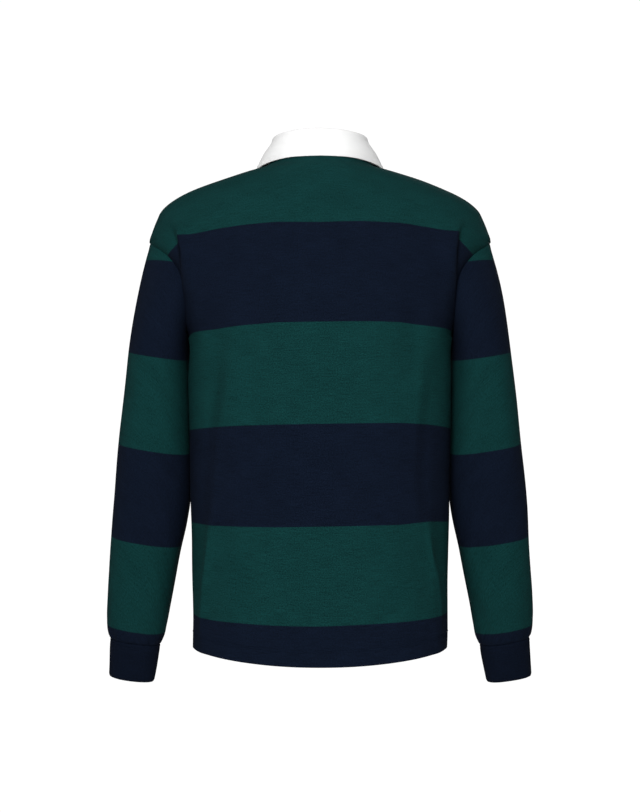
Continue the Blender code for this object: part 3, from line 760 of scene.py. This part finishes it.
def build_collar():
    """The folded collar, with a line of stitches near the edge of its leaf."""
    angles = np.linspace(0.0, COLLAR["angle"][-1], COLLAR_COLUMNS + 1)
    left = np.array([collar_profile(a) for a in angles])
    middle = np.concatenate((left[:0:-1] * (-1, 1, 1), left))
    normals = normals_of(middle, False, (0.0, 1.0, 0.0))
    outermost = middle[COLLAR_COLUMNS, -6:].mean(0) - middle[COLLAR_COLUMNS, 6]
    if normals[COLLAR_COLUMNS, -6] @ outermost < 0:
        normals = -normals
    v = run(middle, 1)
    to_edge = v[:, -1:] - v
    thinner = COLLAR_EDGE_THINNER * np.exp(-(to_edge / 0.0020) ** 2)
    out = COLLAR_WALL / 2 - groove(to_edge - COLLAR_STITCH, EDGE_GROOVE_WIDTH) - thinner
    grid = middle + normals * out[..., None]
    u = run(middle[:, -12:-11], 0) + 0 * v
    cloth = np.stack((u, v, 0 * v), -1)
    collar = shell("collar_cloth", grid, normals, COLLAR_WALL - thinner, False, cloth)
    turned = (part.swapaxes(0, 1) for part in (grid, normals, v))
    line = place_on(*turned, v[:, -1] - COLLAR_STITCH)
    return collar, [line[6:-6]]


def build_placket_strip(name, out, wall):
    """One of the placket's two strips; out is how far its inner face is from the front."""
    xs = np.linspace(-0.5, 0.5, 21) * PLACKET_WIDTH
    zs = spread(PLACKET_END_Z, PLACKET_TOP_Z, 0.0025)
    x, z = np.meshgrid(xs, zs)
    grid = np.stack((x, -depth_at(x, z, -1) - out, z), -1)
    normals = normals_of(grid, False, (0.0, -1.0, 0.0))
    to_side = PLACKET_WIDTH / 2 - np.abs(x)
    wall = wall - groove(to_side - PLACKET_STITCH, EDGE_GROOVE_WIDTH)
    grid = grid + normals * wall[..., None]
    cloth = np.stack((x, z, 0 * x), -1)
    strip = shell(name, grid, normals, wall, False, cloth)
    lines = []
    for from_middle in (PLACKET_STITCH - PLACKET_WIDTH / 2, PLACKET_WIDTH / 2 - PLACKET_STITCH):
        column = np.argmin(np.abs(xs - from_middle))
        lines.append([(grid[row, column], normals[row, column]) for row in range(2, len(zs) - 2)])
    return strip, lines


def button_relief(x, y):
    """Height of a button's face at a point, from its rim's top."""
    distance = np.hypot(x, y) / BUTTON_RADIUS
    dish = -0.0007 * (1.0 - ease((distance - 0.45) / 0.30))
    rim = -0.0009 * ease((distance - 0.86) / 0.14) ** 2
    hole = 0.0
    for hx in (-0.00125, 0.00125):
        for hy in (-0.00125, 0.00125):
            hole = hole - 0.0011 * (1.0 - ease((np.hypot(x - hx, y - hy) - 0.00045) / 0.00030))
    return dish + rim + hole


def build_button(name, z):
    """A moulded button with a raised rim, four holes and its thread."""
    around = 56
    rings = np.linspace(0.0, 1.0, 27)[1:] * BUTTON_RADIUS
    angle, radius = np.meshgrid(np.arange(around) * 2 * math.pi / around, rings)
    x = radius * np.cos(angle)
    y = radius * np.sin(angle)
    top = np.stack((x, y, BUTTON_HEIGHT / 2 + button_relief(x, y)), -1).reshape(-1, 3)
    centre = [[0.0, 0.0, BUTTON_HEIGHT / 2 + button_relief(0.0, 0.0)], [0.0, 0.0, -BUTTON_HEIGHT / 2]]
    back_ring = np.stack((x[-1] * 0.93, y[-1] * 0.93, 0 * x[-1] - BUTTON_HEIGHT / 2), -1)
    verts = np.concatenate((top, back_ring, centre))
    top_centre, back_centre = len(verts) - 2, len(verts) - 1
    last = (len(rings) - 1) * around
    back = len(rings) * around
    faces = []
    for i in range(around):
        j = (i + 1) % around
        faces.append((top_centre, i, j))
        faces.append((back_centre, back + j, back + i))
        faces.append((last + i, back + i, back + j, last + j))
        for ring in range(len(rings) - 1):
            low = ring * around
            faces.append((low + i, low + around + i, low + around + j, low + j))
    step = 0.004
    slope = (depth_at(0.0, z + step, -1) - depth_at(0.0, z - step, -1)) / (2 * step)
    lean = math.atan(slope)
    out = LAY_GAP + PLACKET_WALL + LAY_GAP + BUTTON_HEIGHT / 2
    outward = np.array((0.0, -math.cos(lean), -math.sin(lean)))
    across = np.array((1.0, 0.0, 0.0))
    upward = np.cross(outward, across)
    origin = np.array((0.0, -depth_at(0.0, z, -1), z)) + outward * out
    placed = origin + verts @ np.stack((across, upward, outward))
    button = mesh_object(name, placed, faces)
    thread = []
    for hx in (-0.00125, 0.00125):
        ends = [origin + across * hx + upward * hy + outward * (BUTTON_HEIGHT / 2 - 0.0006)
                for hy in (-0.0014, 0.0014)]
        thread.append((ends[0], ends[1], outward))
    return button, thread


# Meshes


def mesh_object(name, verts, faces):
    """An object made from points and faces, with smooth shading."""
    mesh = bpy.data.meshes.new(name)
    mesh.from_pydata(np.asarray(verts, float).tolist(), [], [tuple(int(i) for i in f) for f in faces])
    mesh.update()
    mesh.shade_smooth()
    obj = bpy.data.objects.new(name, mesh)
    bpy.context.scene.collection.objects.link(obj)
    return obj


def shell(name, grid, normals, wall, closed, cloth, round_first=False, round_last=False):
    """A thin wall whose outer face is the grid, with a cloth attribute on its points: distance
    across, distance along and stripe. A rounded row turns round outside the wall's edge."""
    rows, columns = grid.shape[:2]
    wall = np.broadcast_to(np.asarray(wall, float), (rows, columns))[..., None]
    inner = grid - normals * wall
    loop = [(grid, cloth), (inner, cloth)]
    extra = []
    for rounded, row, next_row in ((round_first, 0, 1), (round_last, -1, -2)):
        beyond = unit(grid[row] - grid[next_row]) * wall[row] * 0.42
        middle = (grid[row] + inner[row]) / 2 + beyond
        extra.append(middle if rounded else None)
    verts = [grid.reshape(-1, 3), inner.reshape(-1, 3)]
    coords = [cloth.reshape(-1, 3), cloth.reshape(-1, 3)]
    size = rows * columns
    index = np.arange(size).reshape(rows, columns)
    base = 2 * size
    turned = np.cross(grid[1, 0] - grid[0, 0], grid[0, 1] - grid[0, 0]) @ normals[0, 0] > 0
    faces = []

    def strip(a, b, flip):
        """Quads between two lines of point numbers."""
        a, b = np.asarray(a), np.asarray(b)
        if closed and len(a) == columns:
            a, b = np.append(a, a[0]), np.append(b, b[0])
        quads = np.stack((a[:-1], a[1:], b[1:], b[:-1]), -1)
        faces.extend((quads[:, ::-1] if flip else quads).tolist())

    for row in range(rows - 1):
        strip(index[row], index[row + 1], turned)
        strip(index[row] + size, index[row + 1] + size, not turned)
    for which, row, flip in ((0, 0, turned), (1, rows - 1, not turned)):
        outer_line, inner_line = index[row], index[row] + size
        if extra[which] is None:
            strip(inner_line, outer_line, flip)
            continue
        middle_line = base + np.arange(columns)
        base += columns
        verts.append(extra[which])
        coords.append(cloth[row])
        strip(middle_line, outer_line, flip)
        strip(inner_line, middle_line, flip)
    if not closed:
        strip(index[:, 0], index[:, 0] + size, not turned)
        strip(index[:, -1] + size, index[:, -1], not turned)
    obj = mesh_object(name, np.concatenate(verts), faces)
    attribute = obj.data.attributes.new("cloth", "FLOAT_VECTOR", "POINT")
    attribute.data.foreach_set("vector", np.concatenate(coords).astype(np.float32).ravel())
    return obj


def thread_mesh(name, bars):
    """Short threads, each from one point to another, lying on a surface with a given normal."""
    verts, faces = [], []
    sides = 6
    rings = ((0.0, 0.35), (0.18, 0.95), (0.5, 1.1), (0.82, 0.95), (1.0, 0.35))
    for begin, end, out in bars:
        along = end - begin
        side = unit(np.cross(along, out))
        first = len(verts)
        for share, thick in rings:
            for i in range(sides):
                turn = 2 * math.pi * i / sides
                around = side * math.cos(turn) + out * math.sin(turn)
                verts.append(begin + along * share + around * THREAD_RADIUS * thick)
        for ring in range(len(rings) - 1):
            for i in range(sides):
                j = (i + 1) % sides
                low = first + ring * sides
                faces.append((low + i, low + j, low + sides + j, low + sides + i))
        faces.append([first + i for i in range(sides)][::-1])
        faces.append([first + (len(rings) - 1) * sides + i for i in range(sides)])
    return mesh_object(name, verts, faces)


def stitches(name, lines):
    """Rows of stitches laid along lines of points on a piece, just proud of it."""
    bars = []
    for line in lines:
        points = np.array([point for point, _ in line])
        outs = np.array([out for _, out in line])
        along = run(points, 0)
        for start in np.arange(STITCH_PITCH, along[-1] - STITCH_PITCH, STITCH_PITCH):
            ends = []
            for at in (start, start + STITCH_LENGTH):
                ends.append(np.array([np.interp(at, along, points[:, axis]) for axis in range(3)]))
            out = unit(np.array([np.interp(start, along, outs[:, axis]) for axis in range(3)]))
            lift = out * (THREAD_RADIUS * 0.9)
            bars.append((ends[0] + lift, ends[1] + lift, out))
    return thread_mesh(name, bars)


# Materials


class Shader:
    """A material under construction, with short names for the nodes it uses."""

    def __init__(self, name):
        self.material = bpy.data.materials.new(name)
        self.material.use_nodes = True
        self.tree = self.material.node_tree
        self.surface = self.tree.nodes["Principled BSDF"]

    def put(self, socket, value):
        if isinstance(value, bpy.types.NodeSocket):
            self.tree.links.new(value, socket)
        else:
            socket.default_value = value

    def math(self, operation, *values):
        node = self.tree.nodes.new("ShaderNodeMath")
        node.operation = operation
        for socket, value in zip(node.inputs, values):
            self.put(socket, value)
        return node.outputs[0]

    def cloth(self):
        """The cloth attribute: distance across, distance along, and stripe."""
        node = self.tree.nodes.new("ShaderNodeAttribute")
        node.attribute_name = "cloth"
        parts = self.tree.nodes.new("ShaderNodeSeparateXYZ")
        self.tree.links.new(node.outputs["Vector"], parts.inputs[0])
        return node.outputs["Vector"], parts.outputs[0], parts.outputs[1], parts.outputs[2]

    def place(self):
        """A point's place on its object."""
        return self.tree.nodes.new("ShaderNodeTexCoord").outputs["Object"]

    def noise(self, vector, scales, detail=2.0):
        """Noise from 0 to 1, with its own scale in each direction."""
        scaled = self.tree.nodes.new("ShaderNodeVectorMath")
        scaled.operation = "MULTIPLY"
        self.put(scaled.inputs[0], vector)
        scaled.inputs[1].default_value = scales
        node = self.tree.nodes.new("ShaderNodeTexNoise")
        node.inputs["Scale"].default_value = 1.0
        node.inputs["Detail"].default_value = detail
        self.tree.links.new(scaled.outputs[0], node.inputs["Vector"])
        return node.outputs["Fac"]

    def mix(self, factor, first, second):
        node = self.tree.nodes.new("ShaderNodeMix")
        node.data_type = "RGBA"
        self.put(node.inputs["Factor"], factor)
        self.put(node.inputs["A"], first)
        self.put(node.inputs["B"], second)
        return next(o for o in node.outputs if o.type == "RGBA")

    def scale(self, colour, amount):
        node = self.tree.nodes.new("ShaderNodeVectorMath")
        node.operation = "SCALE"
        self.put(node.inputs[0], colour if isinstance(colour, bpy.types.NodeSocket) else colour[:3])
        self.put(node.inputs["Scale"], amount)
        return node.outputs[0]

    def finish(self, colour, height, distance, roughness, sheen=0.0, specular=0.25):
        bump = self.tree.nodes.new("ShaderNodeBump")
        bump.inputs["Strength"].default_value = 0.6
        bump.inputs["Distance"].default_value = distance
        self.tree.links.new(height, bump.inputs["Height"])
        self.tree.links.new(bump.outputs[0], self.surface.inputs["Normal"])
        self.put(self.surface.inputs["Base Color"], colour)
        self.put(self.surface.inputs["Roughness"], roughness)
        self.surface.inputs["Specular IOR Level"].default_value = specular
        self.surface.inputs["Sheen Weight"].default_value = sheen
        self.surface.inputs["Sheen Roughness"].default_value = 0.55
        return self.material


def knit_relief(shader, across, along):
    """The loops of a plain knit: two slanted legs in each wale, from 0 in the gaps to 1."""
    wale, course = KNIT_LOOP
    place = shader.math("SUBTRACT", shader.math("FRACT", shader.math("DIVIDE", across, wale)), 0.5)
    leg = shader.math("MULTIPLY", shader.math("ABSOLUTE", place), 2.0)
    off = shader.math("SUBTRACT", shader.math("MULTIPLY", leg, 2.0), 1.0)
    ridge = shader.math("SUBTRACT", 1.0, shader.math("MULTIPLY", off, off))
    row = shader.math("ADD", shader.math("DIVIDE", along, course), shader.math("MULTIPLY", leg, 0.8))
    wave = shader.math("COSINE", shader.math("MULTIPLY", row, 2 * math.pi))
    loop = shader.math("MULTIPLY_ADD", wave, 0.25, 0.75)
    return shader.math("MULTIPLY", ridge, loop)


def striped_jersey():
    """Heavy cotton jersey in green and navy bands, yarn by yarn."""
    shader = Shader("striped jersey")
    vector, across, along, stripe = shader.cloth()
    within = shader.math("FLOORED_MODULO", stripe, 2.0)
    from_middle = shader.math("ABSOLUTE", shader.math("SUBTRACT", within, 1.5))
    inside = shader.math("SUBTRACT", 0.5, from_middle)
    fuzz = shader.math("MULTIPLY_ADD", shader.noise(vector, (900.0, 900.0, 0.0)), 0.006, -0.003)
    edge = shader.math("DIVIDE", shader.math("ADD", inside, fuzz), 0.006)
    navy = shader.tree.nodes.new("ShaderNodeClamp")
    shader.put(navy.inputs[0], shader.math("ADD", edge, 0.5))
    colour = shader.mix(navy.outputs[0], (*GREEN, 1.0), (*NAVY, 1.0))
    return finish_jersey(shader, colour, vector, across, along)


def finish_jersey(shader, colour, vector, across, along):
    """Loops, uneven yarns and soft surface of the jersey, with painted shade in the gaps between the
    loops.
    """
    relief = knit_relief(shader, across, along)
    patterns = [shader.noise(vector, (fine_u, fine_v, 0.0)) for fine_u, fine_v, _ in JERSEY_NOISES]
    # The colour follows the loops' relief and is darker in the gaps between them: painted shade in the
    # knit's hollows. The noises below then change the tone at random, as uneven yarns do.
    tone = shader.math("MULTIPLY_ADD", relief, 0.16, 0.92)
    for pattern, (_, _, strength) in zip(patterns, JERSEY_NOISES):
        change = shader.math("MULTIPLY", shader.math("SUBTRACT", pattern, 0.5), strength)
        tone = shader.math("ADD", tone, change)
    height = shader.math("ADD", relief, shader.math("MULTIPLY", patterns[0], 1.2))
    return shader.finish(shader.scale(colour, tone), height, 0.00035, 0.95, specular=0.04)


def plain_jersey(name, rgb):
    """The same jersey in one colour."""
    shader = Shader(name)
    vector, across, along, _ = shader.cloth()
    return finish_jersey(shader, (*rgb, 1.0), vector, across, along)


def white_twill():
    """White cotton twill with a fine diagonal, with painted shade between its ribs."""
    shader = Shader("white twill")
    vector, across, along, _ = shader.cloth()
    places = [shader.math("DIVIDE", way, rib) for way, rib in zip((across, along), TWILL_RIB)]
    turn = shader.math("MULTIPLY", shader.math("ADD", *places), 2 * math.pi)
    twill = shader.math("MULTIPLY_ADD", shader.math("COSINE", turn), 0.5, 0.5)
    slub = shader.noise(vector, (260.0, 40.0, 0.0))
    # The colour is a little darker between the twill's diagonal ribs: painted shade in the weave's
    # grooves. The slub changes the tone at random.
    tone = shader.math("MULTIPLY_ADD", twill, 0.03, 0.975)
    tone = shader.math("ADD", tone, shader.math("MULTIPLY", shader.math("SUBTRACT", slub, 0.5), 0.03))
    height = shader.math("ADD", twill, shader.math("MULTIPLY", slub, 0.6))
    colour = shader.scale((*WHITE, 1.0), tone)
    return shader.finish(colour, height, 0.00012, 0.85, sheen=0.02, specular=0.2)


def thread_material(name, rgb):
    """Twisted sewing thread."""
    shader = Shader(name)
    place = shader.place()
    twist = shader.noise(place, (2500.0, 2500.0, 2500.0), 1.0)
    tone = shader.math("MULTIPLY_ADD", twist, 0.4, 0.8)
    return shader.finish(shader.scale((*rgb, 1.0), tone), twist, 0.00008, 0.9, specular=0.05)


def button_material():
    """Off-white moulded resin, a little marbled."""
    shader = Shader("button resin")
    place = shader.place()
    marble = shader.noise(place, (350.0, 350.0, 350.0), 4.0)
    tone = shader.math("MULTIPLY_ADD", marble, 0.16, 0.92)
    rough = shader.math("MULTIPLY_ADD", marble, 0.15, 0.28)
    return shader.finish(shader.scale((*BUTTON, 1.0), tone), marble, 0.00003, rough, specular=0.5)


def floor_material():
    """A pale floor."""
    shader = Shader("pale floor")
    place = shader.place()
    grain = shader.noise(place, (8.0, 8.0, 8.0), 2.0)
    tone = shader.math("MULTIPLY_ADD", grain, 0.02, 0.98)
    return shader.finish(shader.scale((*FLOOR, 1.0), tone), grain, 0.0001, 0.9)


# The scene


def dress(obj, material, nodes=()):
    """Give a piece its material and its body, and hide the solids it stands for."""
    obj.data.materials.append(material)
    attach(obj, "root")
    if nodes:
        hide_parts(*nodes)


def build_shirt():
    jersey = striped_jersey()
    # The cuffs take the darker navy, which is painted shade.
    cuff_jersey = plain_jersey("navy jersey", SHADED_CUFF_NAVY)
    twill = white_twill()
    navy_thread = thread_material("navy thread", NAVY_THREAD)
    white_thread = thread_material("white thread", WHITE_THREAD)
    for name, side, step, cut in (("back", 1, BACK_STEP, BACK_CUT), ("front", -1, FRONT_STEP, FRONT_CUT)):
        panel, lines = build_panel(name + "_cloth", side, step)
        hem = stitches(name + "_hem_stitches", lines)
        dress(hem, navy_thread)
        dress(panel, jersey, [name])
    for side in ("left", "right"):
        sleeve = build_sleeve("sleeve_%s_cloth" % side, side)
        dress(sleeve, jersey, ["sleeve_" + side])
        cuff = build_cuff("cuff_%s_cloth" % side, side)
        dress(cuff, cuff_jersey, ["cuff_" + side])
    collar, lines = build_collar()
    edge = stitches("collar_edge_stitches", lines)
    dress(edge, white_thread)
    dress(collar, twill, ["collar"])
    over, lines = build_placket_strip("placket_over_cloth", LAY_GAP, PLACKET_WALL)
    sides = stitches("placket_stitches", lines)
    dress(sides, white_thread)
    dress(over, twill, ["placket_over"])
    under, _ = build_placket_strip("placket_under_cloth", -PLACKET_BEHIND - PLACKET_WALL, PLACKET_WALL)
    dress(under, twill, ["placket_under"])
    resin = button_material()
    for number, z in enumerate(BUTTON_Z, start=1):
        button, bars = build_button("button_%d_face" % number, z)
        dress(button, resin, ["button_%d" % number])
        thread = thread_mesh("button_%d_thread" % number, bars)
        dress(thread, white_thread)


def area_light(name, location, size, power):
    data = bpy.data.lights.new(name, "AREA")
    data.shape = "DISK"
    data.size = size
    data.energy = power
    light = bpy.data.objects.new(name, data)
    light.location = location
    aim = np.array(LIGHTS_TARGET) - np.array(location)
    light.rotation_mode = "QUATERNION"
    light.rotation_quaternion = Vector(aim).to_track_quat("-Z", "Y")
    bpy.context.scene.collection.objects.link(light)


def build_stage():
    """A white surround, a pale floor and soft studio lights."""
    world = bpy.data.worlds.new("studio")
    bpy.context.scene.world = world
    world.use_nodes = True
    tree = world.node_tree
    lit = tree.nodes["Background"]
    lit.inputs["Color"].default_value = (1.0, 1.0, 1.0, 1.0)
    lit.inputs["Strength"].default_value = SKY_LIGHT
    seen = tree.nodes.new("ShaderNodeBackground")
    seen.inputs["Color"].default_value = (1.0, 1.0, 1.0, 1.0)
    seen.inputs["Strength"].default_value = SKY_SEEN
    path = tree.nodes.new("ShaderNodeLightPath")
    mixer = tree.nodes.new("ShaderNodeMixShader")
    tree.links.new(path.outputs["Is Camera Ray"], mixer.inputs[0])
    tree.links.new(lit.outputs[0], mixer.inputs[1])
    tree.links.new(seen.outputs[0], mixer.inputs[2])
    tree.links.new(mixer.outputs[0], tree.nodes["World Output"].inputs["Surface"])
    bpy.ops.mesh.primitive_circle_add(vertices=96, radius=FLOOR_RADIUS, fill_type="NGON",
                                      location=(0.0, 0.0, FLOOR_Z))
    floor = bpy.context.object
    floor.name = "floor"
    floor.data.materials.append(floor_material())
    for name, (location, size, power) in LIGHTS.items():
        area_light(name, location, size, power)


def build_camera():
    """The photograph's view, from behind at chest height and tilted a little up."""
    data = bpy.data.cameras.new("camera")
    data.sensor_width = 36.0
    data.lens = FOCAL_PX / FRAME_HEIGHT_PX * data.sensor_width
    camera = bpy.data.objects.new("camera", data)
    camera.location = (0.0, CAMERA_Y, CAMERA_Z)
    tilt = math.atan(HORIZON_DROP_PX / FOCAL_PX) + TILT_TRIM
    camera.rotation_euler = (math.pi / 2 + tilt, 0.0, math.pi)
    bpy.context.scene.collection.objects.link(camera)
    bpy.context.scene.camera = camera


build_shirt()
build_stage()
build_camera()
bpy.context.scene.view_settings.view_transform = "Standard"
bpy.context.view_layer.update()
